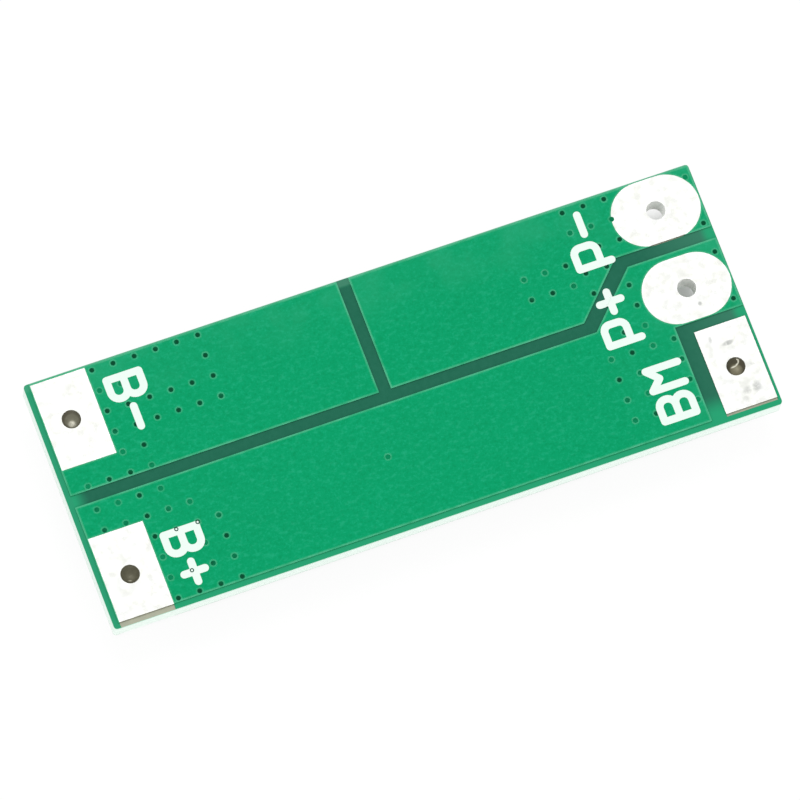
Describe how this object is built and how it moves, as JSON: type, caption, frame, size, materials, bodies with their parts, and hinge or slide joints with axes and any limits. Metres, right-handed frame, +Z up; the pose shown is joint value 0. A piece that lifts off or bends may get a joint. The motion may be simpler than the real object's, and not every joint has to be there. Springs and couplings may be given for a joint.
{
  "type": "battery management board",
  "caption": "Narrow double-sided battery protection board: tinned battery, tap and pack terminals on green masked copper stitched by vias, with power transistors and balancing parts beneath.",
  "frame": {"origin": "on the plane the board rests on (the faces of its two power transistors), under the middle of the board's outline", "axes": "+X along the board towards the pack terminals, +Y towards the long edge with the negative terminals, +Z up, from the parts side to the terminal side"},
  "size_m": [0.0402, 0.0152, 0.0037],
  "materials": {
    "fr4_laminate": "pale sawn glass-epoxy edge, slightly translucent",
    "solder_mask": "semi-gloss green liquid mask over copper",
    "via_ink": "dark green ink, flush",
    "copper": "bare copper foil, covered by mask or tin",
    "tin_finish": "levelled white tin",
    "hole_solder": "dull drawn-in solder with flux tint",
    "solder": "bright solder",
    "lead_frame": "matt tinned lead frame",
    "moulding_black": "matt black moulded epoxy",
    "chip_ceramic": "white alumina",
    "capacitor_ceramic": "tan fired ceramic",
    "resistor_glaze": "black glaze"
  },
  "bodies": {
    "root": {"substrate": "fr4_laminate", "terminal_side_mask": "solder_mask", "parts_side_mask": "solder_mask", "via_plugs": "via_ink", "battery_minus_pour": "copper", "pack_minus_pour": "copper", "positive_pour": "copper", "middle_tap_pour": "copper", "drain_pour": "copper", "signal_tracks": "copper", "battery_minus_pad": "tin_finish", "battery_plus_pad": "tin_finish", "middle_tap_pad": "tin_finish", "pack_minus_pad": "tin_finish", "pack_plus_pad": "tin_finish", "land_tin": "tin_finish", "wire_hole_solder": "hole_solder", "solder_fillets": "solder", "discharge_transistor_body": "moulding_black", "discharge_transistor_tab": "lead_frame", "discharge_transistor_leads": "lead_frame", "charge_transistor_body": "moulding_black", "charge_transistor_tab": "lead_frame", "charge_transistor_leads": "lead_frame", "protection_chip_body": "moulding_black", "protection_chip_leads": "lead_frame", "lower_balance_chip_body": "moulding_black", "lower_balance_chip_leads": "lead_frame", "upper_balance_chip_body": "moulding_black", "upper_balance_chip_leads": "lead_frame", "balance_transistor_bodies": "moulding_black", "balance_transistor_leads": "lead_frame", "bleed_resistor_cores": "chip_ceramic", "bleed_resistor_glazes": "resistor_glaze", "bleed_resistor_ends": "solder", "resistor_cores": "chip_ceramic", "resistor_glazes": "resistor_glaze", "resistor_ends": "solder", "capacitor_cores": "capacitor_ceramic", "capacitor_ends": "solder"}
  },
  "joints": []
}
